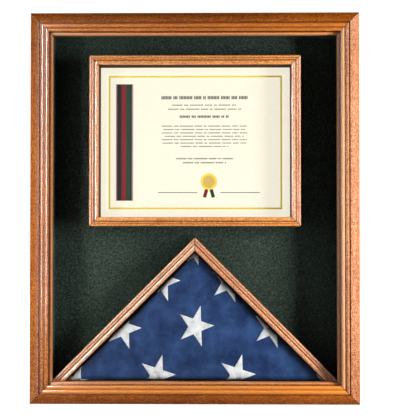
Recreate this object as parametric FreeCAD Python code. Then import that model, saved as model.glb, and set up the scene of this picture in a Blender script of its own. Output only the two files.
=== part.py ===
import FreeCAD, Part
import os
import math
from FreeCAD import Vector

# Case outside, in millimetres: X across, Y from front to back, Z up from the base
case_width = 467.0
case_depth = 58.0

# Front frame moulding, from its outer edge to its sight edge
face_thickness = 20.0
outer_edge_drop = 9.0
outer_arris = 0.8
outer_arris_drop = 6.9
slope_start = 2.4
slope_start_drop = 5.9
slope_middle = 8.0
slope_middle_drop = 2.7
slope_width = 14.2
slope_end_drop = 1.0
quirk_width = 1.5
quirk_drop = 3.2
bead_width = 5.8
bead_shoulder_drop = 1.7
bead_gap = 0.5
lip_width = 3.2
sight_step_drop = 7.5
lip_edge_drop = 9.0
lip_arris = 0.5

# Case boards, glass and liner strips
board_thickness = 16.0
rebate_width = 5.0
glass_thickness = 2.5
glass_clearance = 0.5
rabbet_depth = 4.0
liner_setback = 5.0

# Small reeded moulding of the certificate frame and the flag compartment
small_width = 13.0
small_bead_width = 3.2
small_dip_width = 0.5
small_dip_drop = 1.9
small_middle_bead_width = 2.6
small_groove_width = 1.2
small_groove_drop = 2.8
small_bead_shoulder = 1.4
small_bead_top = 0.4
small_fillet_shoulder = 0.7
small_arris = 0.6
glass_to_small_moulding = 2.0

# Back that lifts off
back_thickness = 6.0
back_clearance = 0.5
felt_thickness = 1.5
felt_clearance = 1.0

# Certificate frame and what it holds: a letter-size sheet behind a mat
sheet_width = 279.4
sheet_height = 215.9
sheet_thickness = 0.3
sheet_side_room = 3.3
sheet_end_room = 6.05
certificate_rabbet_width = 4.0
certificate_rabbet_depth = 4.5
mat_clearance = 0.5
mat_thickness = 1.5
mat_border = 10.0
mat_bevel = 1.5
frame_screw_radius = 1.6
frame_screw_length = 22.0
frame_screw_head_radius = 3.2
frame_screw_head_height = 1.8
frame_screw_across = 100.0
frame_screw_inset = 4.5

# Flag compartment and folded flag
divider_foot_rise = 1.5
divider_to_certificate = 16.5
certificate_to_top = 31.5
flag_clearance = 0.3
flag_corner_radius = 6.0
flag_recess = 9.7
# How far the flag's outline is drawn in at steps from its rear face, then at steps from its front face
flag_rear_draw = ((0.0, 4.0), (1.6, 1.0), (4.5, 0.0))
flag_front_draw = ((6.5, 0.0), (3.4, 1.6), (1.5, 6.0), (0.0, 26.0))

# Turn buttons, their screws and the hangers
button_rim_margin = 0.7
button_reach = 19.0
button_thickness = 1.5
button_gap = 0.05
button_screw_radius = 1.5
button_hole_clearance = 0.05
button_screw_depth = 12.0
button_head_radius = 3.1
button_head_crown_radius = 2.1
button_head_height = 1.7
button_across = 60.0
button_from_corner = 140.0
hanger_across = 150.0
hanger_length = 42.0
hanger_rim_margin = 1.0
hanger_sheet = 0.9
hanger_foot = 8.0
hanger_rise = 2.2
hanger_bend = 3.0
hanger_teeth = 7
hanger_tooth_height = 1.6
hanger_nail_radius = 0.8
hanger_nail_depth = 10.0
hanger_nail_head_radius = 2.0
hanger_nail_head_height = 0.7

# V-nails across the mitres of the front frame
v_nail_places = (5.0, 11.0)
v_nail_reach = 3.0
v_nail_spread = 3.4
v_nail_half_gauge = 0.4
v_nail_depth = 8.0

# Widths and heights that follow from the sizes above
face_width = slope_width + quirk_width + 2 * bead_width + bead_gap + lip_width
liner_thickness = face_width - board_thickness - liner_setback
half_width = case_width / 2
board_inner = half_width - board_thickness
liner_inner = board_inner - liner_thickness
liner_floor = board_thickness + liner_thickness
apex_height = liner_floor + divider_foot_rise + liner_inner
apex_inner_height = apex_height - small_width * math.sqrt(2)
certificate_rail_back = small_width - certificate_rabbet_width
certificate_opening_width = sheet_width + 2 * sheet_side_room
certificate_opening_height = sheet_height + 2 * sheet_end_room
certificate_width = certificate_opening_width + 2 * certificate_rail_back
certificate_height = certificate_opening_height + 2 * certificate_rail_back
certificate_centre_height = apex_height + divider_to_certificate + certificate_height / 2
case_height = certificate_centre_height + certificate_height / 2 + certificate_to_top + liner_floor
rim_width = board_thickness - rebate_width
rim_middle = rim_width / 2
button_width = rim_width - 2 * button_rim_margin
hanger_height = rim_width - 2 * hanger_rim_margin

# Depths behind the front of the frame
glass_front = face_thickness - rabbet_depth
glass_rear = glass_front + glass_thickness
small_front = glass_rear + glass_to_small_moulding
back_front = case_depth - back_thickness
felt_front = back_front - felt_thickness
button_front = case_depth + button_gap
button_rear = button_front + button_thickness
overcut = 5.0


def depth_y(depth):
    return depth - case_depth / 2


def box(x_low, x_high, depth_low, depth_high, z_low, z_high):
    corner = Vector(x_low, depth_y(depth_low), z_low)
    return Part.makeBox(x_high - x_low, depth_high - depth_low, z_high - z_low, corner)


def prism(outline, depth_low, depth_high):
    points = [Vector(x, depth_y(depth_low), z) for x, z in outline]
    face = Part.Face(Part.makePolygon(points + points[:1]))
    return face.extrude(Vector(0, depth_high - depth_low, 0))


def rod(x, z, radius, depth_low, depth_high):
    base = Vector(x, depth_y(depth_low), z)
    return Part.makeCylinder(radius, depth_high - depth_low, base, Vector(0, 1, 0))


def tapered(x, z, front_radius, rear_radius, depth_low, depth_high):
    base = Vector(x, depth_y(depth_low), z)
    return Part.makeCone(front_radius, rear_radius, depth_high - depth_low, base, Vector(0, 1, 0))


def section_face(start, steps, at_x):
    """Face of a moulding section. A step is an end point, or a point on an arc and its end point."""
    def place(point):
        return Vector(at_x, depth_y(point[1]), point[0])

    edges = []
    here = start
    for step in steps + [(start,)]:
        there = step[-1]
        if len(step) == 2:
            edges.append(Part.Arc(place(here), place(step[0]), place(there)).toShape())
        else:
            edges.append(Part.makeLine(place(here), place(there)))
        here = there
    return Part.Face(Part.Wire(edges))


def bar(section, length):
    start, steps = section
    return section_face(start, steps, -length / 2).extrude(Vector(length, 0, 0))


def mitred_bar(section, length, width, depth_low, depth_high):
    """Bar along X with its outer edge at Z = 0 and both ends cut at 45 degrees."""
    half = length / 2
    outline = [(-half, 0), (half, 0), (half - width, width), (-half + width, width)]
    return bar(section, length).common(prism(outline, depth_low, depth_high))


def turned(shape, degrees, x, z):
    copy = shape.copy()
    copy.rotate(Vector(0, 0, 0), Vector(0, 1, 0), degrees)
    copy.translate(Vector(x, 0, z))
    return copy


def mitred_frame(section, across, up, middle_z, width, depth_low, depth_high):
    flat = mitred_bar(section, across, width, depth_low, depth_high)
    upright = mitred_bar(section, up, width, depth_low, depth_high)
    return {
        "bottom": turned(flat, 0, 0, middle_z - up / 2),
        "top": turned(flat, 180, 0, middle_z + up / 2),
        "left": turned(upright, 90, -across / 2, middle_z),
        "right": turned(upright, -90, across / 2, middle_z),
    }


# Front frame

def face_section():
    bead_start = slope_width + quirk_width
    first_end = bead_start + bead_width
    second_start = first_end + bead_gap
    second_end = second_start + bead_width
    steps = [
        ((0, outer_edge_drop),),
        ((outer_arris, outer_arris_drop), (slope_start, slope_start_drop)),
        ((slope_middle, slope_middle_drop), (slope_width, slope_end_drop)),
        ((slope_width, quirk_drop),),
        ((bead_start, quirk_drop),),
        ((bead_start, bead_shoulder_drop),),
        (((bead_start + first_end) / 2, 0), (first_end, bead_shoulder_drop)),
        ((second_start, bead_shoulder_drop),),
        (((second_start + second_end) / 2, 0), (second_end, bead_shoulder_drop)),
        ((second_end, sight_step_drop),),
        ((face_width - lip_arris, lip_edge_drop - lip_arris),),
        ((face_width, lip_edge_drop),),
        ((face_width, glass_front),),
        ((board_thickness, glass_front),),
        ((board_thickness, face_thickness),),
    ]
    return (0, face_thickness), steps


def v_nails():
    nails = []
    depth_low = face_thickness - v_nail_depth
    gauge = v_nail_half_gauge
    chevron = [
        (-gauge, 0),
        (v_nail_reach - gauge, v_nail_spread),
        (v_nail_reach + gauge, v_nail_spread),
        (gauge, 0),
        (v_nail_reach + gauge, -v_nail_spread),
        (v_nail_reach - gauge, -v_nail_spread),
    ]
    nail = prism(chevron, depth_low, face_thickness)
    for side in (-1, 1):
        for end in (-1, 1):
            inward = math.degrees(math.atan2(end, -side))
            for place in v_nail_places:
                corner_z = case_height / 2 + end * case_height / 2
                nails.append(turned(nail, inward, side * (half_width - place), corner_z - end * place))
    return Part.makeCompound(nails)


# Case boards with the holes that the rear hardware uses

def board_section():
    steps = [
        ((0, face_thickness),),
        ((board_thickness, face_thickness),),
        ((board_thickness, back_front),),
        ((rim_width, back_front),),
        ((rim_width, case_depth),),
    ]
    return (0, case_depth), steps


def button_places():
    """Name, pivot X, pivot Z and the turn that lays the button along its edge."""
    places = []
    for side_name, side in (("left", -1), ("right", 1)):
        for end_name, end in (("bottom", -1), ("top", 1)):
            edge_z = case_height / 2 + end * (case_height / 2 - rim_middle)
            edge_x = side * (half_width - rim_middle)
            height = case_height / 2 + end * (case_height / 2 - button_from_corner)
            along = 0 if side > 0 else 180
            places.append((end_name + "_edge_" + side_name, side * button_across, edge_z, along))
            places.append((side_name + "_edge_" + end_name, edge_x, height, -90 * end))
    return places


def hanger_nail_places():
    offset = (hanger_length - hanger_foot) / 2
    z = case_height - rim_middle
    return [(side * hanger_across + end * offset, z) for side in (-1, 1) for end in (-1, 1)]


def rear_holes():
    tools = []
    for name, x, z, along in button_places():
        tools.append(rod(x, z, button_screw_radius, case_depth - button_screw_depth, case_depth))
    for x, z in hanger_nail_places():
        tools.append(rod(x, z, hanger_nail_radius, case_depth - hanger_nail_depth, case_depth))
    return Part.makeCompound(tools)


# Glass and liner strips

def front_glass():
    reach = board_inner - glass_clearance
    low = board_thickness + glass_clearance
    return box(-reach, reach, glass_front, glass_rear, low, case_height - low)


def liners():
    top = case_height - liner_floor
    edge = case_height - board_thickness
    return {
        "bottom_liner": box(-board_inner, board_inner, glass_rear, felt_front, board_thickness, liner_floor),
        "top_liner": box(-board_inner, board_inner, glass_rear, felt_front, top, edge),
        "left_liner": box(-board_inner, -liner_inner, glass_rear, felt_front, liner_floor, top),
        "right_liner": box(liner_inner, board_inner, glass_rear, felt_front, liner_floor, top),
    }


# Small reeded moulding

def small_section(with_rabbet):
    top = small_front
    shoulder = top + small_bead_shoulder
    dip = top + small_dip_drop
    groove = top + small_groove_drop
    middle_start = small_bead_width + small_dip_width
    middle_end = middle_start + small_middle_bead_width
    fillet_start = middle_end + small_groove_width
    fillet_end = small_width - small_arris
    steps = [
        ((0, shoulder),),
        ((small_bead_width / 2, top + small_bead_top), (small_bead_width, shoulder)),
        ((small_bead_width, dip),),
        ((middle_start, dip),),
        ((middle_start, shoulder),),
        (((middle_start + middle_end) / 2, top + small_bead_top), (middle_end, shoulder)),
        ((middle_end, groove),),
        ((fillet_start, groove),),
        ((fillet_start, top + small_fillet_shoulder),),
        (((fillet_start + fillet_end) / 2, top), (fillet_end, top + small_fillet_shoulder)),
        ((small_width, top + small_fillet_shoulder + small_arris),),
    ]
    if with_rabbet:
        rabbet_front = felt_front - certificate_rabbet_depth
        steps.append(((small_width, rabbet_front),))
        steps.append(((certificate_rail_back, rabbet_front),))
        steps.append(((certificate_rail_back, felt_front),))
    else:
        steps.append(((small_width, felt_front),))
    return (0, felt_front), steps


# Certificate frame and its contents

def frame_screw_places():
    reach = certificate_height / 2 - frame_screw_inset
    places = []
    for end in (-1, 1):
        for side in (-1, 1):
            places.append((side * frame_screw_across, certificate_centre_height + end * reach))
    return places


def frame_screw(x, z):
    head_front = case_depth - frame_screw_head_height
    shank = rod(x, z, frame_screw_radius, case_depth - frame_screw_length, head_front)
    head = tapered(x, z, frame_screw_radius, frame_screw_head_radius, head_front, case_depth)
    return shank.fuse(head).removeSplitter()


def frame_screws():
    return Part.makeCompound([frame_screw(x, z) for x, z in frame_screw_places()])


def centred_plate(width, height, depth_low, depth_high):
    low = certificate_centre_height - height / 2
    return box(-width / 2, width / 2, depth_low, depth_high, low, low + height)


def certificate_contents():
    fit_width = certificate_opening_width - 2 * mat_clearance
    fit_height = certificate_opening_height - 2 * mat_clearance
    window_width = certificate_width - 2 * small_width - 2 * mat_border
    window_height = certificate_height - 2 * small_width - 2 * mat_border
    mat_front = felt_front - certificate_rabbet_depth
    mat_rear = mat_front + mat_thickness
    sheet_rear = mat_rear + sheet_thickness
    outlines = []
    for depth, spread in ((mat_front, 2 * mat_bevel), (mat_rear, 0.0)):
        half_x = (window_width + spread) / 2
        half_z = (window_height + spread) / 2
        corners = []
        for side, end in ((-1, -1), (1, -1), (1, 1), (-1, 1)):
            corners.append(Vector(side * half_x, depth_y(depth), certificate_centre_height + end * half_z))
        outlines.append(Part.makePolygon(corners + corners[:1]))
    window = Part.makeLoft(outlines, True, True)
    mat = centred_plate(fit_width, fit_height, mat_front, mat_rear).cut(window)
    return {
        "certificate_mat": mat,
        "certificate_sheet": centred_plate(sheet_width, sheet_height, mat_rear, sheet_rear),
        "certificate_backing": centred_plate(fit_width, fit_height, sheet_rear, felt_front),
    }


# Back that lifts off

def back_panel():
    screws = frame_screws()
    reach = half_width - rim_width - back_clearance
    low = rim_width + back_clearance
    board = box(-reach, reach, back_front, case_depth, low, case_height - low)
    felt_reach = board_inner - felt_clearance
    felt_low = board_thickness + felt_clearance
    felt = box(-felt_reach, felt_reach, felt_front, back_front, felt_low, case_height - felt_low)
    return {"back_board": board.cut(screws), "felt_lining": felt.cut(screws)}


# Flag compartment

def flag_dividers():
    """Two raking bars, mitred at the apex, with their feet on the bottom and side liners."""
    length = apex_height * 2
    section = small_section(False)
    sides = {}
    for name, side in (("flag_divider_left", -1), ("flag_divider_right", 1)):
        foot_z = apex_height - liner_inner
        foot_x = apex_inner_height - liner_floor
        outline = [
            (0, apex_height),
            (side * liner_inner, foot_z),
            (side * liner_inner, liner_floor),
            (side * foot_x, liner_floor),
            (0, apex_inner_height),
        ]
        middle = apex_height / 2
        raking = turned(bar(section, length), 180 + side * 45, side * middle, middle)
        sides[name] = raking.common(prism(outline, small_front - overcut, felt_front))
    return sides


def rounded_triangle(inset, depth):
    """Outline of the folded flag, set in from the walls of its compartment."""
    top = apex_inner_height - inset * math.sqrt(2)
    low = liner_floor + inset
    reach = top - low
    corners = [(0.0, top), (-reach, low), (reach, low)]
    half_angles = [math.radians(45), math.radians(22.5), math.radians(22.5)]
    edges = []
    joins = []
    for index, (x, z) in enumerate(corners):
        here = Vector(x, depth_y(depth), z)
        ways = []
        for other in (corners[index - 1], corners[(index + 1) % 3]):
            ways.append((Vector(other[0], depth_y(depth), other[1]) - here).normalize())
        back_off = flag_corner_radius / math.tan(half_angles[index])
        nearest = flag_corner_radius / math.sin(half_angles[index]) - flag_corner_radius
        middle = here + (ways[0] + ways[1]).normalize() * nearest
        joins.append((here + ways[0] * back_off, middle, here + ways[1] * back_off))
    for index, (start, middle, end) in enumerate(joins):
        edges.append(Part.Arc(start, middle, end).toShape())
        edges.append(Part.makeLine(end, joins[(index + 1) % 3][0]))
    return Part.Wire(edges)


def folded_flag():
    """Crowned pad: full outline at its middle, drawn in towards both faces."""
    rear = felt_front - flag_clearance
    front = small_front + flag_recess
    outlines = [rounded_triangle(flag_clearance + drawn, rear - step) for step, drawn in flag_rear_draw]
    outlines += [rounded_triangle(flag_clearance + drawn, front + step) for step, drawn in flag_front_draw]
    return Part.makeLoft(outlines, True, True)


# Rear hardware

def turn_button(x, z, along):
    half = button_width / 2
    y = depth_y(button_front)
    edges = [
        Part.makeLine(Vector(0, y, -half), Vector(button_reach, y, -half)),
        Part.Arc(Vector(button_reach, y, -half), Vector(button_reach + half, y, 0),
                 Vector(button_reach, y, half)).toShape(),
        Part.makeLine(Vector(button_reach, y, half), Vector(0, y, half)),
        Part.Arc(Vector(0, y, half), Vector(-half, y, 0), Vector(0, y, -half)).toShape(),
    ]
    plate = Part.Face(Part.Wire(edges)).extrude(Vector(0, button_thickness, 0))
    hole = rod(0, 0, button_screw_radius + button_hole_clearance, button_front, button_rear)
    return turned(plate.cut(hole), along, x, z)


def button_screws():
    screws = []
    seat = button_rear + button_gap
    for name, x, z, along in button_places():
        shank = rod(x, z, button_screw_radius, case_depth - button_screw_depth, seat)
        head = tapered(x, z, button_head_radius, button_head_crown_radius, seat, seat + button_head_height)
        screws.append(shank.fuse(head).removeSplitter())
    return Part.makeCompound(screws)


def hanger():
    """Bowed strip with a flat foot at each end and teeth along its lower middle."""
    half = hanger_length / 2
    foot = half - hanger_foot
    shoulder = foot - hanger_bend
    low = case_depth
    high = case_depth + hanger_rise
    outline = [
        (-half, low), (-foot, low), (-shoulder, high), (shoulder, high), (foot, low), (half, low),
        (half, low + hanger_sheet), (foot, low + hanger_sheet), (shoulder, high + hanger_sheet),
        (-shoulder, high + hanger_sheet), (-foot, low + hanger_sheet), (-half, low + hanger_sheet),
    ]
    points = [Vector(x, depth_y(depth), -hanger_height / 2) for x, depth in outline]
    strip = Part.Face(Part.makePolygon(points + points[:1])).extrude(Vector(0, 0, hanger_height))
    pitch = 2 * (shoulder - hanger_bend / 2) / hanger_teeth
    bottom = -hanger_height / 2
    notches = []
    for index in range(hanger_teeth):
        middle = (index - (hanger_teeth - 1) / 2) * pitch
        peak = (middle, bottom + hanger_tooth_height)
        wedge = [(middle - pitch / 2, bottom), peak, (middle + pitch / 2, bottom)]
        notches.append(prism(wedge, high - overcut, high + hanger_sheet + overcut))
    for end in (-1, 1):
        hole_x = end * (half - hanger_foot / 2)
        notches.append(rod(hole_x, 0, hanger_nail_radius, low, low + hanger_sheet))
    return strip.cut(Part.makeCompound(notches))


def hangers():
    z = case_height - rim_middle
    shape = hanger()
    return Part.makeCompound([turned(shape, 0, side * hanger_across, z) for side in (-1, 1)])


def hanger_nails():
    nails = []
    seat = case_depth + hanger_sheet
    for x, z in hanger_nail_places():
        shank = rod(x, z, hanger_nail_radius, case_depth - hanger_nail_depth, seat)
        head = rod(x, z, hanger_nail_head_radius, seat, seat + hanger_nail_head_height)
        nails.append(shank.fuse(head).removeSplitter())
    return Part.makeCompound(nails)


# Every node and its shape

def nodes():
    made = {}
    nails = v_nails()
    face_rails = mitred_frame(face_section(), case_width, case_height, case_height / 2,
                              face_width, 0, face_thickness)
    for name, rail in face_rails.items():
        made["front_frame_" + name] = rail.cut(nails)
    made["frame_v_nails"] = nails
    holes = rear_holes()
    boards = mitred_frame(board_section(), case_width, case_height, case_height / 2,
                          board_thickness, face_thickness, case_depth)
    for name, board in boards.items():
        made["case_" + name + "_board"] = board.cut(holes)
    made["front_glass"] = front_glass()
    made.update(liners())
    made.update(flag_dividers())
    made["folded_flag"] = folded_flag()
    made.update(back_panel())
    screws = frame_screws()
    small_rails = mitred_frame(small_section(True), certificate_width, certificate_height,
                               certificate_centre_height, small_width, small_front, felt_front)
    for name, rail in small_rails.items():
        made["certificate_frame_" + name] = rail.cut(screws)
    made.update(certificate_contents())
    made["certificate_frame_screws"] = screws
    for name, x, z, along in button_places():
        made["turn_button_" + name] = turn_button(x, z, along)
    made["turn_button_screws"] = button_screws()
    made["hangers"] = hangers()
    made["hanger_nails"] = hanger_nails()
    return made


os.makedirs("parts", exist_ok=True)
for node_name, node_shape in nodes().items():
    if not node_shape.isValid():
        print("not valid:", node_name)
    print(node_name, len(node_shape.Solids), round(node_shape.Volume / 1000, 2), "cm3")
    node_shape.exportStep("parts/" + node_name + ".step")
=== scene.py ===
import math
import bmesh
import bpy
from mathutils import Matrix, Vector, noise
from mathutils.bvhtree import BVHTree


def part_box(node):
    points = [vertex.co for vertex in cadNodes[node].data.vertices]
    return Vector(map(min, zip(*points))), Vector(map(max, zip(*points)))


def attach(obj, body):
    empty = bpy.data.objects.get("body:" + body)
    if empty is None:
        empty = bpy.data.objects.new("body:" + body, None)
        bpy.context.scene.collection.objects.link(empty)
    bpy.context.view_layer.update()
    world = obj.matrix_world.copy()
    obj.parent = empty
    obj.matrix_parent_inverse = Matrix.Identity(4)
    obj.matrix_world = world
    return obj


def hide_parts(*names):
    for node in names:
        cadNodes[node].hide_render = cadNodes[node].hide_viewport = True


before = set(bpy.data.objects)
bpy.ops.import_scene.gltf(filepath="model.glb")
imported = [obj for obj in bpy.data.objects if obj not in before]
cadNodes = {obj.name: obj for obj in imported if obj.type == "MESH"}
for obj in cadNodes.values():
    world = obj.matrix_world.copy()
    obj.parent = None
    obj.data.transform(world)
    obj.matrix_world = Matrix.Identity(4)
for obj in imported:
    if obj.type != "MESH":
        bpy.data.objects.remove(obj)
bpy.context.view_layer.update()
mm = 0.001
print("frame loaded:", len(cadNodes), "nodes")


def hexColor(code):
    parts = [int(code[i:i + 2], 16) / 255 for i in (1, 3, 5)]
    linear = [p / 12.92 if p <= 0.04045 else ((p + 0.055) / 1.055) ** 2.4 for p in parts]
    return (*linear, 1.0)


# adds one node: plain settings, socket values, links into sockets, and colour stops where it has a ramp
def addNode(tree, kind, settings={}, values={}, links={}, stops=()):
    node = tree.nodes.new("ShaderNode" + kind)
    for key, value in settings.items():
        setattr(node, key, value)
    for key, value in values.items():
        node.inputs[key].default_value = value
    for key, source in links.items():
        tree.links.new(source, node.inputs[key])
    for index, (place, code) in enumerate(stops):
        elements = node.color_ramp.elements
        stop = elements[index] if index < 2 else elements.new(place)
        stop.position = place
        stop.color = hexColor(code)
    return node


def newMaterial(name):
    material = bpy.data.materials.new(name)
    material.use_nodes = True
    tree = material.node_tree
    tree.nodes.clear()
    shader = addNode(tree, "BsdfPrincipled")
    addNode(tree, "OutputMaterial", links={"Surface": shader.outputs[0]})
    return material, tree, shader


def dress(node, material):
    mesh = cadNodes[node].data
    mesh.materials.clear()
    mesh.materials.append(material)


def newPiece(name, bm, material, body, smooth=True):
    mesh = bpy.data.meshes.new(name)
    bm.to_mesh(mesh)
    bm.free()
    for face in mesh.polygons:
        face.use_smooth = smooth
    mesh.materials.append(material)
    piece = bpy.data.objects.new(name, mesh)
    bpy.context.scene.collection.objects.link(piece)
    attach(piece, body)
    return piece


# stained hardwood, moulded, sanded and sprayed with satin lacquer:
# short flecks along the grain, dark pores, painted shade in the quirks and on the inner walls, painted
# highlights on the beads and the lip, and a soft even gloss
woodSpec = dict(
    # sizes along and across the grain; real flecks and pores are too fine to show, so these are coarser
    figureMm=(60, 18), streakMm=(7, 1.8), fleckMm=(2.0, 1.3), poreMm=(4, 1.4),
    streakShare=0.5, fleckShare=0.7, ramp=(0.39, 0.5, 0.61),
    poreRange=(0.58, 0.70), poreShare=0.45, poreTone="#7a4a2c",
    mitreMm=0.9, mitreShare=0.92, mitreTone="#2a1208",
    # painted shade on the inner walls behind the reeds
    wallShadeShare=0.92, wallShadeTone="#1e0e06",
    sideMm=(0.1, 0.6), sideRoughness=0.9,  # how far in from the outer edge the dull sides reach
    roughness=(0.38, 0.55), index=1.5, specular=0.1, coat=(1.7, 0.14), bump=(0.6, 0.05),
)
caseMitre = ((0, 233.5), (277.5, 277.5))  # middle and half size, across and up
certificateMitre = ((0, 152), (374.5, 123))
dividerApexMm = 235.0
smallWall = -4.6  # where the wall behind the small moulding's reeds begins
noWall = 900  # behind all the wood, so none of it counts as a wall
# bands along the moulding: middle from the outer edge, half width, share, tone; the dark tone is painted shade
# in the quirks, the pale tones are painted highlights on the beads and the lip, strongest on the bottom rail's
# beads and the right stile's reeds
paintedShade, paintedGleam, paintedLipGleam = "#1c0a04", "#dc8a38", "#d89a68"
railBands = ((21.7, 6.0, 0.22, paintedGleam), (14.9, 0.8, 0.15, paintedShade), (21.75, 0.4, 0.15, paintedShade),
             (28.2, 0.5, 0.75, paintedShade), (30.0, 1.1, 0.45, paintedLipGleam))
lowRailBands = ((21.7, 6.0, 0.7, paintedGleam), (14.9, 0.8, 0.15, paintedShade), (21.75, 0.4, 0.15, paintedShade),
                (28.2, 0.5, 0.25, paintedShade), (30.0, 1.1, 0.45, paintedLipGleam))
stileBands = ((14.9, 0.8, 0.7, paintedShade), (21.75, 0.7, 0.5, paintedShade), (28.2, 0.6, 0.8, paintedShade),
              (30.0, 1.1, 0.3, paintedLipGleam))
rightStileBands = ((24.5, 3.0, 0.45, paintedLipGleam), (14.9, 0.8, 0.7, paintedShade), (21.75, 0.7, 0.5, paintedShade),
                   (28.2, 0.6, 0.5, paintedShade), (30.0, 1.1, 0.3, paintedLipGleam))
smallBands = ((3.45, 0.35, 0.35, paintedShade), (6.9, 0.7, 0.6, paintedShade))


def stainedWood(name, grainTurn, tones, mitre, wallMm, bands, lacquer):
    material, tree, shader = newMaterial(name)
    coords = addNode(tree, "TexCoord").outputs["Object"]
    grain = addNode(tree, "Mapping", values={"Rotation": (0, math.radians(grainTurn), 0)},
                    links={"Vector": coords}).outputs[0]
    layers = []
    for key, detail in (("figureMm", 3), ("streakMm", 4), ("fleckMm", 2), ("poreMm", 2)):
        long, wide = woodSpec[key]
        stretched = addNode(tree, "Mapping", values={"Scale": (1000 / long, 1000 / wide, 1000 / wide)},
                            links={"Vector": grain}).outputs[0]
        layers.append(addNode(tree, "TexNoise", values={"Scale": 1.0, "Detail": detail, "Roughness": 0.6,
                                                        "Distortion": 0.4},
                              links={"Vector": stretched}).outputs[0])
    figure, streak, fleck, pore = layers
    blend = addNode(tree, "Mix", {"data_type": "FLOAT"}, {0: woodSpec["streakShare"]},
                    {2: figure, 3: streak}).outputs[0]
    blend = addNode(tree, "Mix", {"data_type": "FLOAT"}, {0: woodSpec["fleckShare"]},
                    {2: blend, 3: fleck}).outputs[0]
    dark, middle, pale = woodSpec["ramp"]
    stain = addNode(tree, "ValToRGB", links={0: blend}, stops=(
        (dark, tones[0]), (pale, tones[2]), (middle, tones[1]))).outputs[0]
    low, high = woodSpec["poreRange"]
    poreMask = addNode(tree, "MapRange", values={1: low, 2: high}, links={0: pore}).outputs[0]
    poreShare = addNode(tree, "Math", {"operation": "MULTIPLY"}, {1: woodSpec["poreShare"]},
                        {0: poreMask}).outputs[0]
    finish = addNode(tree, "Mix", {"data_type": "RGBA", "blend_type": "MULTIPLY"},
                     {7: hexColor(woodSpec["poreTone"])}, {0: poreShare, 6: stain}).outputs[2]
    # how far a point lies from the mitre and from the outer edge of the moulding
    split = addNode(tree, "SeparateXYZ", links={0: coords})
    if mitre:
        sides = []
        for socket, (centre, half) in ((split.outputs["X"], mitre[0]), (split.outputs["Z"], mitre[1])):
            away = addNode(tree, "Math", {"operation": "SUBTRACT"}, {1: centre * mm}, {0: socket}).outputs[0]
            span = addNode(tree, "Math", {"operation": "ABSOLUTE"}, {}, {0: away}).outputs[0]
            sides.append(addNode(tree, "Math", {"operation": "SUBTRACT"}, {0: half * mm},
                                 {1: span}).outputs[0])
        gap = addNode(tree, "Math", {"operation": "SUBTRACT"}, {}, {0: sides[0], 1: sides[1]}).outputs[0]
        inward = addNode(tree, "Math", {"operation": "MINIMUM"}, {}, {0: sides[0], 1: sides[1]}).outputs[0]
    else:
        gap = split.outputs["X"]
        span = addNode(tree, "Math", {"operation": "ABSOLUTE"}, {}, {0: gap}).outputs[0]
        rise = addNode(tree, "Math", {"operation": "ADD"}, {}, {0: span, 1: split.outputs["Z"]}).outputs[0]
        inward = addNode(tree, "MapRange", {"clamp": False}, {
            1: dividerApexMm * mm, 2: (dividerApexMm - math.sqrt(2)) * mm, 3: 0.0, 4: mm},
            {0: rise}).outputs[0]
    # painted highlights make the beads and the lip paler, and painted shade darkens the quirks between them
    for centre, half, share, code in bands:
        line = addNode(tree, "Math", {"operation": "COMPARE"}, {1: centre * mm, 2: half * mm},
                       {0: inward}).outputs[0]
        part = addNode(tree, "Math", {"operation": "MULTIPLY"}, {1: share}, {0: line}).outputs[0]
        finish = addNode(tree, "Mix", {"data_type": "RGBA", "blend_type": "MIX"},
                         {7: hexColor(code)}, {0: part, 6: finish}).outputs[2]
    # the glue line shows dark where two mitred ends meet
    offLine = addNode(tree, "Math", {"operation": "ABSOLUTE"}, {}, {0: gap}).outputs[0]
    reach = woodSpec["mitreMm"] * mm
    lineMask = addNode(tree, "MapRange", values={1: 0.35 * reach, 2: reach, 3: woodSpec["mitreShare"], 4: 0.0},
                       links={0: offLine}).outputs[0]
    finish = addNode(tree, "Mix", {"data_type": "RGBA", "blend_type": "MIX"},
                     {7: hexColor(woodSpec["mitreTone"])}, {0: lineMask, 6: finish}).outputs[2]
    # painted shade darkens the upright walls behind the reeds
    wall = addNode(tree, "MapRange", values={1: (wallMm - 1) * mm, 2: wallMm * mm, 3: 0.0,
                                             4: woodSpec["wallShadeShare"]},
                   links={0: split.outputs["Y"]}).outputs[0]
    finish = addNode(tree, "Mix", {"data_type": "RGBA", "blend_type": "MIX"},
                     {7: hexColor(woodSpec["wallShadeTone"])}, {0: wall, 6: finish}).outputs[2]
    # the streaks vary the gloss, and the walls and the rubbed outer sides are dull
    low, high = woodSpec["roughness"]
    near, far = (edge * mm for edge in woodSpec["sideMm"])
    rough = addNode(tree, "MapRange", values={1: 0.3, 2: 0.7, 3: low, 4: high}, links={0: streak}).outputs[0]
    rough = addNode(tree, "Math", {"operation": "MAXIMUM"}, {}, {0: rough, 1: wall}).outputs[0]
    side = addNode(tree, "MapRange", values={1: near, 2: far, 3: woodSpec["sideRoughness"], 4: 0.0},
                   links={0: inward}).outputs[0]
    rough = addNode(tree, "Math", {"operation": "MAXIMUM"}, {}, {0: rough, 1: side}).outputs[0]
    strength, depth = woodSpec["bump"]
    bump = addNode(tree, "Bump", values={"Strength": strength, "Distance": depth * mm},
                   links={"Height": streak}).outputs[0]
    face = addNode(tree, "MapRange", values={1: near, 2: far, 3: 0.0, 4: lacquer},
                   links={0: inward}).outputs[0]
    gloss = addNode(tree, "MapRange", values={1: 0.0, 2: 0.8, 4: 0.0}, links={0: wall, 3: face}).outputs[0]
    tree.links.new(finish, shader.inputs["Base Color"])
    tree.links.new(rough, shader.inputs["Roughness"])
    tree.links.new(bump, shader.inputs["Normal"])
    tree.links.new(gloss, shader.inputs["Coat Weight"])
    shader.inputs["IOR"].default_value = woodSpec["index"]
    shader.inputs["Specular IOR Level"].default_value = woodSpec["specular"]  # the lacquer gives the gloss
    coatIndex, haze = woodSpec["coat"]
    shader.inputs["Coat IOR"].default_value = coatIndex
    shader.inputs["Coat Roughness"].default_value = haze
    return material
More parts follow.
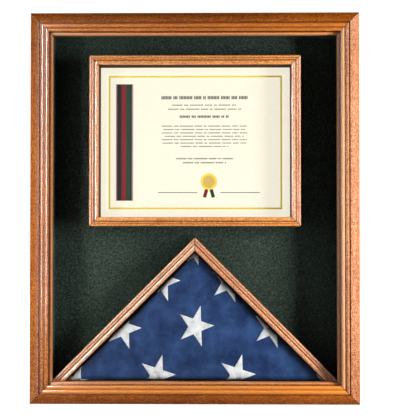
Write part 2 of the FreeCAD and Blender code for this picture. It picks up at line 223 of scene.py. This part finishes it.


# tones run from dark to light; they paint light and shade: the rails are darker and the stiles lighter as the
# side lights fall, the right stile paler and pinker for a painted sheen, and the small stiles and the dividers
# paler and pinker than the small rails for the same painted sheen
woodTones = dict(rail=("#5e2600", "#984a08", "#c26e22"), stile=("#622a05", "#9e5212", "#c27833"),
                 rightStile=("#5f3018", "#965b38", "#ba845c"), board=("#663012", "#84471c", "#9c5e30"),
                 small=("#a05a1e", "#d8883e", "#f0ac64"), smallStile=("#a4643e", "#d69064", "#eeb48e"))

# name, turn of the grain, tones, mitre, wall, bands, lacquer, and the members made of it
memberWoods = (
    ("cherry_stained_rail", 0, "rail", caseMitre, noWall, railBands, 0.35, ("front_frame_top",)),
    ("cherry_stained_low_rail", 0, "rail", caseMitre, noWall, lowRailBands, 0.5, ("front_frame_bottom",)),
    ("cherry_stained_stile", 90, "stile", caseMitre, noWall, stileBands, 0.9, ("front_frame_left",)),
    ("cherry_stained_right_stile", 90, "rightStile", caseMitre, noWall, rightStileBands, 0.25,
     ("front_frame_right",)),
    ("cherry_stained_small_rail", 0, "small", certificateMitre, smallWall, smallBands, 0.7,
     ("certificate_frame_top", "certificate_frame_bottom")),
    ("cherry_stained_small_stile", 90, "smallStile", certificateMitre, smallWall, smallBands, 0.7,
     ("certificate_frame_left", "certificate_frame_right")),
    # the boards are rubbed to a dull satin, with no lacquer left on them
    ("satin_rubbed_rail_board", 0, "board", caseMitre, noWall, (), 0.0,
     ("case_top_board", "case_bottom_board")),
    ("satin_rubbed_stile_board", 90, "board", caseMitre, noWall, (), 0.0,
     ("case_left_board", "case_right_board")),
    ("cherry_stained_flag_divider_left", 45, "smallStile", None, smallWall, smallBands, 0.7,
     ("flag_divider_left",)),
    ("cherry_stained_flag_divider_right", -45, "smallStile", None, smallWall, smallBands, 0.7,
     ("flag_divider_right",)),
)
for name, turn, tone, mitre, wallMm, bands, lacquer, members in memberWoods:
    wood = stainedWood(name, turn, woodTones[tone], mitre, wallMm, bands, lacquer)
    for member in members:
        dress(member, wood)
print("wood done")


# wool felt, pressed and napped: matt near-black green with short pale fibres standing up from it
feltSpec = dict(
    tones=("#151c17", "#2c3730", "#56645b"), ramp=(0.36, 0.5, 0.68),
    clumpMm=3.6, fibreMm=1.7, fibreShare=0.7,  # real fibres are too fine to show, so these are coarser
    roughness=0.95, specular=0.02, sheen=(0.05, 0.5, "#8c9a90"), bump=(0.8, 0.5),
)


def nappedFelt(name):
    material, tree, shader = newMaterial(name)
    coords = addNode(tree, "TexCoord").outputs["Object"]
    clump = addNode(tree, "TexNoise", values={"Scale": 1000 / feltSpec["clumpMm"], "Detail": 3.0,
                                              "Roughness": 0.7}, links={"Vector": coords}).outputs[0]
    fibre = addNode(tree, "TexNoise", values={"Scale": 1000 / feltSpec["fibreMm"], "Detail": 2.0,
                                              "Distortion": 1.5}, links={"Vector": coords}).outputs[0]
    blend = addNode(tree, "Mix", {"data_type": "FLOAT"}, {0: feltSpec["fibreShare"]},
                    {2: clump, 3: fibre}).outputs[0]
    tones = feltSpec["tones"]
    dark, middle, pale = feltSpec["ramp"]
    tone = addNode(tree, "ValToRGB", links={0: blend}, stops=(
        (dark, tones[0]), (pale, tones[2]), (middle, tones[1]))).outputs[0]
    strength, depth = feltSpec["bump"]
    bump = addNode(tree, "Bump", values={"Strength": strength, "Distance": depth * mm},
                   links={"Height": fibre}).outputs[0]
    tree.links.new(tone, shader.inputs["Base Color"])
    tree.links.new(bump, shader.inputs["Normal"])
    shader.inputs["Roughness"].default_value = feltSpec["roughness"]
    shader.inputs["Specular IOR Level"].default_value = feltSpec["specular"]
    weight, spread, tint = feltSpec["sheen"]
    shader.inputs["Sheen Weight"].default_value = weight
    shader.inputs["Sheen Roughness"].default_value = spread
    shader.inputs["Sheen Tint"].default_value = hexColor(tint)
    return material


felt = nappedFelt("napped_wool_felt")
for node in ("top_liner", "bottom_liner", "left_liner", "right_liner"):
    dress(node, felt)

# the lining is one cut sheet, glued flat to the back board, with a slightly uneven nap
liningSpec = dict(stepMm=4.0, napMm=0.12, edgeMm=0.4, clumpsPerM=220)


def makeLining():
    low, high = (Vector(c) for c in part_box("felt_lining"))
    size = high - low
    bm = bmesh.new()
    step = liningSpec["stepMm"] * mm
    bmesh.ops.create_grid(bm, x_segments=int(size.x / step), y_segments=int(size.z / step), size=0.5)
    bmesh.ops.scale(bm, vec=(size.x, size.z, 1), verts=bm.verts)
    bmesh.ops.rotate(bm, cent=(0, 0, 0), matrix=Matrix.Rotation(math.radians(90), 3, "X"), verts=bm.verts)
    bmesh.ops.translate(bm, vec=(0, low.y + liningSpec["napMm"] * mm, (low.z + high.z) / 2), verts=bm.verts)
    edge = {v for e in bm.edges if e.is_boundary for v in e.verts}
    for v in bm.verts:
        if v in edge:
            v.co.y += liningSpec["edgeMm"] * mm
        else:
            v.co.y += noise.noise(v.co * liningSpec["clumpsPerM"]) * liningSpec["napMm"] * mm
    rim = bmesh.ops.extrude_face_region(bm, geom=bm.faces[:])
    for v in rim["geom"]:
        if isinstance(v, bmesh.types.BMVert):
            v.co.y = high.y
    bmesh.ops.recalc_face_normals(bm, faces=bm.faces)
    piece = newPiece("felt_sheet", bm, felt, "back")
    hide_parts("felt_lining")


makeLining()
print("felt done")


# float glass, cut: clear, with a thin greenish edge and a faint mirror on its face
glassSpec = dict(tint="#0c1612", roughness=0.02, index=1.5, alpha=0.03)


def floatGlass():
    material, _, shader = newMaterial("clear_float_glass")
    shader.inputs["Base Color"].default_value = hexColor(glassSpec["tint"])
    shader.inputs["Roughness"].default_value = glassSpec["roughness"]
    shader.inputs["IOR"].default_value = glassSpec["index"]
    shader.inputs["Alpha"].default_value = glassSpec["alpha"]
    dress("front_glass", material)


floatGlass()


# the flag, folded to a triangle and tucked in: a padded bundle
flagSpec = dict(
    insetMm=0.6, edgeMm=1.6, voxelMm=3.0, frontMm=2.0, apexMm=216.6, floorMm=26.0, gapMm=0.45,
    pressure=3.0, frames=14, capMm=2.5, smooth=0.3, proudMm=1.2, unevenMm=0.5,
    cloth=dict(quality=6, mass=0.15, tension_stiffness=25, compression_stiffness=25, bending_stiffness=1.5),
    # soft ridges where the layers beneath press through: place at base, lean, height, width
    ridges=((-47, 3, 0.9, 5.0), (-8, -4, 0.5, 9.0), (38, -6, 0.7, 7.0), (78, -14, 0.6, 8.0),
            (-92, 12, 0.5, 8.0)),
)
# the thread is far too fine to show, so the weave is drawn as slubs, slubMm apart
clothSpec = dict(tones=("#1a2d54", "#263e68", "#304b78"), cloudMm=38, slubMm=10.053, bumpMm=0.2)
weaveSpec = dict(ramp=(0.38, 0.51, 0.64), roughness=(0.62, 0.78), sheen=(0.08, 0.4), specular=0.06)


# dyed nylon, woven: a cloudy tone that is painted soft shade of the folds, a slubbed weave and a dull sheen
def wovenCloth(name, tones, cloudMm, slubMm, bumpMm, turn=0):
    material, tree, shader = newMaterial(name)
    coords = addNode(tree, "TexCoord").outputs["Object"]
    # the cloudy noise is painted shade standing in for the folds
    cloud = addNode(tree, "TexNoise", values={"Scale": 1000 / cloudMm, "Detail": 5.0, "Roughness": 0.65},
                    links={"Vector": coords}).outputs[0]
    dark, middle, pale = weaveSpec["ramp"]
    tone = addNode(tree, "ValToRGB", links={0: cloud}, stops=(
        (dark, tones[0]), (pale, tones[2]), (middle, tones[1]))).outputs[0]
    waveScale = 1000 / slubMm * 2 * math.pi / 20  # a wave of scale 1 repeats every 2 pi / 20
    turned = addNode(tree, "Mapping", values={"Rotation": (0, math.radians(turn), 0)},
                     links={"Vector": coords}).outputs[0]
    heights = []
    for way in ("X", "Z"):
        heights.append(addNode(tree, "TexWave", {"bands_direction": way}, {
            "Scale": waveScale, "Distortion": 1.0, "Detail": 1.0}, links={"Vector": turned}).outputs[1])
    weave = addNode(tree, "Math", {"operation": "MULTIPLY"}, {}, {0: heights[0], 1: heights[1]}).outputs[0]
    bump = addNode(tree, "Bump", values={"Strength": 0.5, "Distance": bumpMm * mm},
                   links={"Height": weave}).outputs[0]
    low, high = weaveSpec["roughness"]
    rough = addNode(tree, "MapRange", values={1: 0.3, 2: 0.7, 3: low, 4: high}, links={0: cloud}).outputs[0]
    tree.links.new(tone, shader.inputs["Base Color"])
    tree.links.new(bump, shader.inputs["Normal"])
    tree.links.new(rough, shader.inputs["Roughness"])
    weight, spread = weaveSpec["sheen"]
    shader.inputs["Sheen Weight"].default_value = weight
    shader.inputs["Sheen Roughness"].default_value = spread
    shader.inputs["Specular IOR Level"].default_value = weaveSpec["specular"]
    return material


def insidePocket(co, gapMm):
    # pushes a point back from the raking walls and the floor
    reach = (flagSpec["apexMm"] - gapMm * math.sqrt(2)) * mm
    over = co.z + abs(co.x) - reach
    if over > 0:
        co.z -= over / 2
        co.x -= math.copysign(over / 2, co.x)
    co.z = max(co.z, (flagSpec["floorMm"] + gapMm) * mm)


def makeFlag():
    low, high = (Vector(c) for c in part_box("folded_flag"))
    bm = bmesh.new()
    top = (flagSpec["apexMm"] - flagSpec["insetMm"] * math.sqrt(2)) * mm
    base = (flagSpec["floorMm"] + flagSpec["insetMm"]) * mm
    outline = ((0, top), (base - top, base), (top - base, base))
    rear = bm.faces.new([bm.verts.new((x, high.y, z)) for x, z in outline])
    grown = bmesh.ops.extrude_face_region(bm, geom=[rear])["geom"]
    for v in grown:
        if isinstance(v, bmesh.types.BMVert):
            v.co.y = low.y + flagSpec["frontMm"] * mm
    bmesh.ops.recalc_face_normals(bm, faces=bm.faces)
    bmesh.ops.bevel(bm, geom=bm.edges[:], offset=flagSpec["edgeMm"] * mm, offset_type="OFFSET", segments=3,
                    profile=0.5, affect="EDGES", material=-1)
    mesh = bpy.data.meshes.new("flag_start")
    bm.to_mesh(mesh)
    bm.free()
    start = bpy.data.objects.new("flag_start", mesh)
    bpy.context.scene.collection.objects.link(start)
    remesh = start.modifiers.new("even", "REMESH")
    remesh.mode = "VOXEL"
    remesh.voxel_size = flagSpec["voxelMm"] * mm
    graph = bpy.context.evaluated_depsgraph_get()
    even = bpy.data.meshes.new_from_object(start.evaluated_get(graph))
    start.modifiers.clear()
    start.data = even
    before = [v.co.copy() for v in even.vertices]
    cloth = start.modifiers.new("puff", "CLOTH")
    for key, value in flagSpec["cloth"].items():
        setattr(cloth.settings, key, value)
    cloth.settings.use_pressure = True
    cloth.settings.uniform_pressure_force = flagSpec["pressure"]
    cloth.settings.effector_weights.gravity = 0
    cloth.point_cache.frame_start = 1
    cloth.point_cache.frame_end = flagSpec["frames"]
    for step in range(1, flagSpec["frames"] + 1):
        bpy.context.scene.frame_set(step)
    graph = bpy.context.evaluated_depsgraph_get()
    even = bpy.data.meshes.new_from_object(start.evaluated_get(graph))
    start.modifiers.clear()
    bpy.context.scene.frame_set(1)
    bm = bmesh.new()
    bm.from_mesh(even)
    bpy.data.objects.remove(start)
    cap = flagSpec["capMm"] * mm
    bm.verts.ensure_lookup_table()
    for v, was in zip(bm.verts, before):
        move = v.co - was
        if move.length > cap:
            v.co = was + move.normalized() * cap
    bmesh.ops.smooth_vert(bm, verts=bm.verts, factor=flagSpec["smooth"],
                          use_axis_x=True, use_axis_y=True, use_axis_z=True)
    bmesh.ops.subdivide_edges(bm, edges=bm.edges, cuts=1, use_grid_fill=True, smooth=0.6)
    bm.normal_update()
    # the ridges rise on the front only, fading in and out along their length
    for v in bm.verts:
        front = max(0.0, -v.normal.y - 0.5) * 2
        if front > 0:
            lift = 0.0
            for place, lean, height, width in flagSpec["ridges"]:
                line = place + lean * (v.co.z / mm - 30) / 100
                off = (v.co.x / mm - line) / width
                fade = 0.5 + 0.5 * noise.noise(Vector((place, 0, v.co.z * 18)))
                lift += height * fade * math.exp(-off * off)
            lift += flagSpec["unevenMm"] * noise.noise(v.co * 22)
            v.co.y -= lift * front * mm
        insidePocket(v.co, flagSpec["gapMm"])
        v.co.y = min(max(v.co.y, low.y - flagSpec["proudMm"] * mm), high.y)
    bmesh.ops.recalc_face_normals(bm, faces=bm.faces)
    piece = newPiece("flag_bundle", bm, wovenCloth("woven_blue_nylon", **clothSpec), "case")
    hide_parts("folded_flag")
    return piece


flag = makeFlag()
print("flag done:", len(flag.data.polygons), "faces")

# stars, appliqued and satin stitched: white, slightly raised, with the weave turned across the flag's
starSpec = dict(
    radiusMm=28.5, stretch=(0.94, 1.08), waist=0.385, turn=2.0, cuts=7,
    liftMm=0.25, thickMm=0.45, trimMm=1.0,
    cloth=dict(tones=("#bfc3c2", "#d8dcdc", "#e6e9e9"), cloudMm=12, slubMm=8.168, bumpMm=0.15, turn=20),
    # across, up, and share of the full size, smaller where the cloth turns away
    places=((0.7, 106.8, 1), (-48.0, 171.8, 1), (49.0, 170.3, 1), (-104.0, 103.3, 1), (110.0, 104.7, 1),
            (-54.5, 36.2, 1), (60.6, 37.0, 1), (-0.5, 213.0, 0.62), (-173.0, 23.0, 1), (197.0, 21.0, 1)),
)


def makeStars():
    surface = BVHTree.FromPolygons([v.co for v in flag.data.vertices],
                                   [p.vertices for p in flag.data.polygons])
    material = wovenCloth("satin_stitched_white", **starSpec["cloth"])
    floor = (flagSpec["floorMm"] + starSpec["trimMm"]) * mm
    whole = bmesh.new()
    for x, z, share in starSpec["places"]:
        bm = bmesh.new()
        made = bmesh.ops.create_circle(bm, segments=10, radius=starSpec["radiusMm"] * mm)
        for index, v in enumerate(made["verts"]):
            angle = math.radians(starSpec["turn"] + 36 * index)
            reach = share * starSpec["radiusMm"] * (1 if index % 2 == 0 else starSpec["waist"]) * mm
            wide, tall = starSpec["stretch"]
            v.co = (x * mm + reach * wide * math.cos(angle), 0, z * mm + reach * tall * math.sin(angle))
        hub = bm.verts.new((x * mm, 0, z * mm))
        for index, v in enumerate(made["verts"]):
            bm.faces.new((hub, v, made["verts"][(index + 1) % 10]))
        bmesh.ops.subdivide_edges(bm, edges=bm.edges, cuts=starSpec["cuts"], use_grid_fill=True)
        reach = (flagSpec["apexMm"] - starSpec["trimMm"] * math.sqrt(2)) * mm
        for side in (-1, 1):
            bmesh.ops.bisect_plane(bm, geom=bm.verts[:] + bm.edges[:] + bm.faces[:], plane_co=(0, 0, reach),
                                   plane_no=(side, 0, 1), clear_outer=True)
        bmesh.ops.bisect_plane(bm, geom=bm.verts[:] + bm.edges[:] + bm.faces[:], plane_co=(0, 0, floor),
                               plane_no=(0, 0, 1), clear_inner=True)
        for v in bm.verts:
            hit = surface.ray_cast(Vector((v.co.x, -0.1, v.co.z)), Vector((0, 1, 0)))
            point = hit[0] or surface.find_nearest(v.co)[0]
            v.co = point + Vector((0, -starSpec["liftMm"] * mm, 0))
        scratch = bpy.data.meshes.new("star")
        bm.to_mesh(scratch)
        bm.free()
        whole.from_mesh(scratch)
        bpy.data.meshes.remove(scratch)
    bmesh.ops.recalc_face_normals(whole, faces=whole.faces)
    for face in whole.faces:
        if face.normal.y > 0:
            face.normal_flip()
    bmesh.ops.solidify(whole, geom=whole.faces[:], thickness=starSpec["thickMm"] * mm)
    newPiece("flag_stars", whole, material, "case")


makeStars()
print("stars done")


# mat board and laid paper, cream, with a faint tooth; a painted glow in their emission keeps them pale in the
# shade
# grey board and hardboard, pressed: even, with fine fibre flecks, drawn coarser than they are
paperSpec = dict(  # name, tones, grain in mm, roughness, glow
    certificate_mat=("cream_mat_board", ("#736f64", "#7d7a6e"), 2.5, 0.9, 0.9),
    certificate_sheet=("laid_cream_paper", ("#726e61", "#7d796c"), 4.0, 0.85, 0.9),
    certificate_backing=("grey_board", ("#6f6558", "#837868"), 3.0, 0.95, 0.0),
    back_board=("pressed_hardboard", ("#5a3f2a", "#76563a"), 3.0, 0.7, 0.0),
)
paperGlow = "#fbf5e0"


def paperBoard(name, tones, grainMm, rough, paintedGlow):
    material, tree, shader = newMaterial(name)
    coords = addNode(tree, "TexCoord").outputs["Object"]
    tooth = addNode(tree, "TexNoise", values={"Scale": 1000 / grainMm, "Detail": 4.0, "Roughness": 0.7},
                    links={"Vector": coords}).outputs[0]
    tone = addNode(tree, "ValToRGB", links={0: tooth}, stops=((0.35, tones[0]), (0.65, tones[1]))).outputs[0]
    bump = addNode(tree, "Bump", values={"Strength": 0.25, "Distance": 0.05 * mm},
                   links={"Height": tooth}).outputs[0]
    tree.links.new(tone, shader.inputs["Base Color"])
    tree.links.new(bump, shader.inputs["Normal"])
    # painted glow: the paper shines by itself to stay pale in the shade
    shader.inputs["Emission Color"].default_value = hexColor(paperGlow)
    shader.inputs["Emission Strength"].default_value = paintedGlow
    shader.inputs["Roughness"].default_value = rough
    shader.inputs["Specular IOR Level"].default_value = 0.1
    return material


for node, board in paperSpec.items():
    dress(node, paperBoard(*board))


# plated hardware, stamped and tumbled: small cloudy scuffs in the gloss
metalSpec = dict(scuffMm=3.0, haze=0.18, brass=("#b08a3e", "#d2ad5c"), zinc=("#9ea2a6", "#c3c6c9"))


def platedMetal(name, tones, rough):
    material, tree, shader = newMaterial(name)
    coords = addNode(tree, "TexCoord").outputs["Object"]
    scuff = addNode(tree, "TexNoise", values={"Scale": 1000 / metalSpec["scuffMm"], "Detail": 5.0,
                                              "Roughness": 0.7}, links={"Vector": coords}).outputs[0]
    tone = addNode(tree, "ValToRGB", links={0: scuff}, stops=((0.3, tones[0]), (0.7, tones[1]))).outputs[0]
    gloss = addNode(tree, "MapRange", values={1: 0.3, 2: 0.7, 3: rough, 4: rough + metalSpec["haze"]},
                    links={0: scuff}).outputs[0]
    tree.links.new(tone, shader.inputs["Base Color"])
    tree.links.new(gloss, shader.inputs["Roughness"])
    shader.inputs["Metallic"].default_value = 1.0
    return material


brass = platedMetal("brass_plated_steel", metalSpec["brass"], 0.25)
zinc = platedMetal("zinc_plated_steel", metalSpec["zinc"], 0.3)
for node in cadNodes:
    if node.startswith("turn_button"):
        dress(node, brass)
for node in ("hangers", "hanger_nails", "frame_v_nails", "certificate_frame_screws"):
    dress(node, zinc)
print("hardware done")

# print on the sheet: a gilt border, a striped band, rows, ruled lines and a foil rosette, all laid flat
printSpec = dict(inkMm=0.06, borderMm=(255.5, 197), borderWideMm=2.5)
inkSpec = dict(  # name, tone, roughness, glow
    gilt=("gilt_ink", "#d8bc30", 0.5, 0.5), pale=("pale_gilt_ink", "#c2a25a", 0.5, 0.4),
    black=("black_ink", "#14161c", 0.6, 0.0), red=("red_ink", "#8c1216", 0.6, 0.0),
    green=("green_ink", "#12402a", 0.6, 0.0), rose=("rose_ink", "#c88a92", 0.6, 0.0),
)
mottleMm = 2.0  # real ink mottle is too fine to show, so it is coarser
sheetFront = Vector(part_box("certificate_sheet")[0]).y
sheetMiddle = sum(c[2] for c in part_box("certificate_sheet")) / 2


# printing ink, pressed thin on paper: slightly mottled; the gilt inks get a painted glow to stay bright beside
# the glowing paper
def printInk(name, code, rough, glow):
    material, tree, shader = newMaterial(name)
    coords = addNode(tree, "TexCoord").outputs["Object"]
    mottle = addNode(tree, "TexNoise", values={"Scale": 1000 / mottleMm, "Detail": 3.0},
                     links={"Vector": coords}).outputs[0]
    tone = addNode(tree, "Mix", {"data_type": "RGBA", "blend_type": "MULTIPLY"},
                   {6: hexColor(code), 7: hexColor("#c8c8c8")}, {0: mottle}).outputs[2]
    tree.links.new(tone, shader.inputs["Base Color"])
    shader.inputs["Roughness"].default_value = rough
    shader.inputs["Specular IOR Level"].default_value = 0.1
    # painted glow on the gilt inks
    shader.inputs["Emission Color"].default_value = hexColor(code)
    shader.inputs["Emission Strength"].default_value = glow
    return material


def printPlate(bm, x, z, width, height):
    made = bmesh.ops.create_cube(bm, size=1)
    bmesh.ops.scale(bm, vec=(width * mm, printSpec["inkMm"] * mm, height * mm), verts=made["verts"])
    bmesh.ops.translate(bm, vec=(x * mm, sheetFront - printSpec["inkMm"] * mm / 2, sheetMiddle + z * mm),
                        verts=made["verts"])


def printStrips(name, strips, material):
    bm = bmesh.new()
    for x, z, width, height in strips:
        printPlate(bm, x, z, width, height)
    newPiece(name, bm, material, "back", False)


# an upright striped band down the left side: ink, place across, stripe width
bandSpec = dict(placeMm=-104, highMm=172, stripes=(
    ("rose", -12.2, 1.6), ("black", -8.2, 6.4), ("red", -1.6, 6.8), ("green", 5.0, 6.4), ("black", 9.4, 2.4),
    ("rose", 11.6, 1.6)))
# rows of plain printed blocks: height on the sheet, length, thickness
rowSpec = dict(placeMm=14, strokeMm=(1.5, 0.7), words=(7, 3, 9, 5, 2, 8, 6, 4), rows=(
    (66, 128, 4.6), (55, 96, 1.5), (49, 108, 1.5), (38, 74, 3.4), (24, 126, 1.4), (19, 122, 1.4),
    (14, 126, 1.4), (9, 118, 1.4), (4, 126, 1.4), (-1, 124, 1.4), (-6, 70, 1.4), (-24, 84, 1.8),
    (-30, 64, 1.8)))
signSpec = dict(placesMm=(-26, 66), zMm=-74, wideMm=58, thickMm=0.9)
# a gilt paper rosette with a pinked edge over two short tails, low in the middle
rosetteSpec = dict(placeMm=(20, -58), radiusMm=12.5, points=24, pinkMm=1.1, ringMm=8.6, tailMm=(5.0, 24.0),
                   splay=16)


def makeRosette(gilt, pale, red, green):
    x, z = rosetteSpec["placeMm"]
    ink = printSpec["inkMm"] * mm
    for name, side, material in (("print_tail_left", -1, red), ("print_tail_right", 1, green)):
        bm = bmesh.new()
        wide, high = rosetteSpec["tailMm"]
        printPlate(bm, x, z - high / 2, wide, high)
        bmesh.ops.rotate(bm, cent=(x * mm, sheetFront, sheetMiddle + z * mm), verts=bm.verts,
                         matrix=Matrix.Rotation(math.radians(side * -rosetteSpec["splay"]), 3, "Y"))
        newPiece(name, bm, material, "back", False)
    for name, radius, pink, lift, material in (
            ("print_rosette", rosetteSpec["radiusMm"], rosetteSpec["pinkMm"], 2, gilt),
            ("print_rosette_ring", rosetteSpec["ringMm"], 0, 3, pale)):
        bm = bmesh.new()
        ring = bmesh.ops.create_circle(bm, cap_ends=True, segments=2 * rosetteSpec["points"],
                                       radius=radius * mm)
        for v in ring["verts"][::2]:
            v.co *= 1 - pink / radius
        bmesh.ops.rotate(bm, cent=(0, 0, 0), matrix=Matrix.Rotation(math.radians(90), 3, "X"), verts=bm.verts)
        bmesh.ops.translate(bm, vec=(x * mm, sheetFront - lift * ink, sheetMiddle + z * mm), verts=bm.verts)
        bmesh.ops.solidify(bm, geom=bm.faces[:], thickness=-ink)
        bmesh.ops.recalc_face_normals(bm, faces=bm.faces)
        newPiece(name, bm, material, "back", False)


def rowBlocks(z, length, high):
    stroke, space = rowSpec["strokeMm"]
    words = rowSpec["words"]
    blocks = []
    here, word, left = 0.0, 0, words[0]
    while here + stroke <= length:
        if left > 0:
            blocks.append((rowSpec["placeMm"] - length / 2 + here + stroke / 2, z, stroke, high))
            left -= 1
        else:
            word += 1
            left = words[word % len(words)]
        here += stroke + space
    return blocks


def makePrint():
    wide, high = printSpec["borderMm"]
    line = printSpec["borderWideMm"]
    inks = {key: printInk(*values) for key, values in inkSpec.items()}
    border = [(0, side * (high - line) / 2, wide, line) for side in (-1, 1)]
    border += [(side * (wide - line) / 2, 0, line, high - 2 * line) for side in (-1, 1)]
    printStrips("print_border", border, inks["gilt"])
    for index, (ink, place, width) in enumerate(bandSpec["stripes"]):
        printStrips("print_band_%d_%s" % (index, ink),
                    [(bandSpec["placeMm"] + place, 0, width, bandSpec["highMm"])], inks[ink])
    rows = [strip for row in rowSpec["rows"] for strip in rowBlocks(*row)]
    rows += [(x, signSpec["zMm"], signSpec["wideMm"], signSpec["thickMm"]) for x in signSpec["placesMm"]]
    printStrips("print_rows", rows, inks["black"])
    makeRosette(inks["gilt"], inks["pale"], inks["red"], inks["green"])


makePrint()
print("print done")

# floor, light and camera; the floor and the sky look white without lighting the case
stageSpec = dict(floorM=15, floorTone="#7a7a7a", floorRoughness=0.9, white="#ffffff", fill=0.015, sky=1.1)
floorMesh = bpy.data.meshes.new("floor")
bm = bmesh.new()
bmesh.ops.create_grid(bm, x_segments=1, y_segments=1, size=stageSpec["floorM"])
bm.to_mesh(floorMesh)
bm.free()
floor = bpy.data.objects.new("floor", floorMesh)
bpy.context.scene.collection.objects.link(floor)
# matt painted floor: an even pale ground that shines for the camera's own rays only
floorPaint, tree, shader = newMaterial("pale_floor")
shader.inputs["Base Color"].default_value = hexColor(stageSpec["floorTone"])
shader.inputs["Roughness"].default_value = stageSpec["floorRoughness"]
shader.inputs["Emission Color"].default_value = hexColor(stageSpec["white"])
seen = addNode(tree, "LightPath").outputs["Is Camera Ray"]
tree.links.new(seen, shader.inputs["Emission Strength"])
floorMesh.materials.append(floorPaint)

world = bpy.data.worlds.new("studio")
bpy.context.scene.world = world
world.use_nodes = True
tree = world.node_tree
tree.nodes.clear()
white = hexColor(stageSpec["white"])
seen = addNode(tree, "LightPath").outputs["Is Camera Ray"]
fill = addNode(tree, "Background", values={"Color": white, "Strength": stageSpec["fill"]})
sky = addNode(tree, "Background", values={"Color": white, "Strength": stageSpec["sky"]})
pick = addNode(tree, "MixShader", links={0: seen, 1: fill.outputs[0], 2: sky.outputs[0]})
addNode(tree, "OutputWorld", links={"Surface": pick.outputs[0]})

# two tall soft boxes close in at the sides light the matt surfaces, and cards give the lacquer its gleam;
# a box and a card behind do the same for the back
lightSpec = dict(
    left=dict(place=(-0.36, -0.20, 0.24), size=(0.08, 0.7), watts=2.0, matt=True, gloss=False),
    leftGleam=dict(place=(-0.43, -0.60, 0.34), size=(0.05, 0.9), watts=22.0, matt=False, gloss=True),
    right=dict(place=(0.70, -0.34, 0.27), size=(0.2, 0.6), watts=14.0, matt=True, gloss=False),
    rightGleam=dict(place=(0.70, -0.39, 0.34), size=(0.4, 1.2), watts=4.5, matt=False, gloss=True),
    topGleam=dict(place=(0.0, -0.60, 0.78), size=(0.7, 0.14), watts=1.2, matt=False, gloss=True),
    rear=dict(place=(0.5, 1.3, 1.0), size=(0.8, 0.8), watts=28.0, matt=True, gloss=False),
    rearGleam=dict(place=(-0.4, 1.2, 0.5), size=(0.8, 0.8), watts=5.0, matt=False, gloss=True),
)
aimPoint = Vector((0, 0, 0.28))
for name, spec in lightSpec.items():
    lamp = bpy.data.lights.new(name, "AREA")
    lamp.shape = "RECTANGLE"
    lamp.size, lamp.size_y = spec["size"]
    lamp.energy = spec["watts"]
    holder = bpy.data.objects.new(name, lamp)
    holder.location = spec["place"]
    holder.rotation_euler = (aimPoint - holder.location).to_track_quat("-Z", "Y").to_euler()
    holder.visible_diffuse = spec["matt"]
    holder.visible_glossy = spec["gloss"]
    holder.visible_camera = False
    bpy.context.scene.collection.objects.link(holder)

cameraSpec = dict(place=(0.0292, -1.029, 0.2636), pitch=0.777, yaw=0.575, lens=61.61, sensor=36)
camera = bpy.data.cameras.new("camera")
camera.lens = cameraSpec["lens"]
camera.sensor_width = cameraSpec["sensor"]
eye = bpy.data.objects.new("camera", camera)
eye.location = cameraSpec["place"]
eye.rotation_euler = (math.radians(90 + cameraSpec["pitch"]), 0, math.radians(cameraSpec["yaw"]))
bpy.context.scene.collection.objects.link(eye)
bpy.context.scene.camera = eye
bpy.context.scene.view_settings.view_transform = "Standard"

print("scene done")
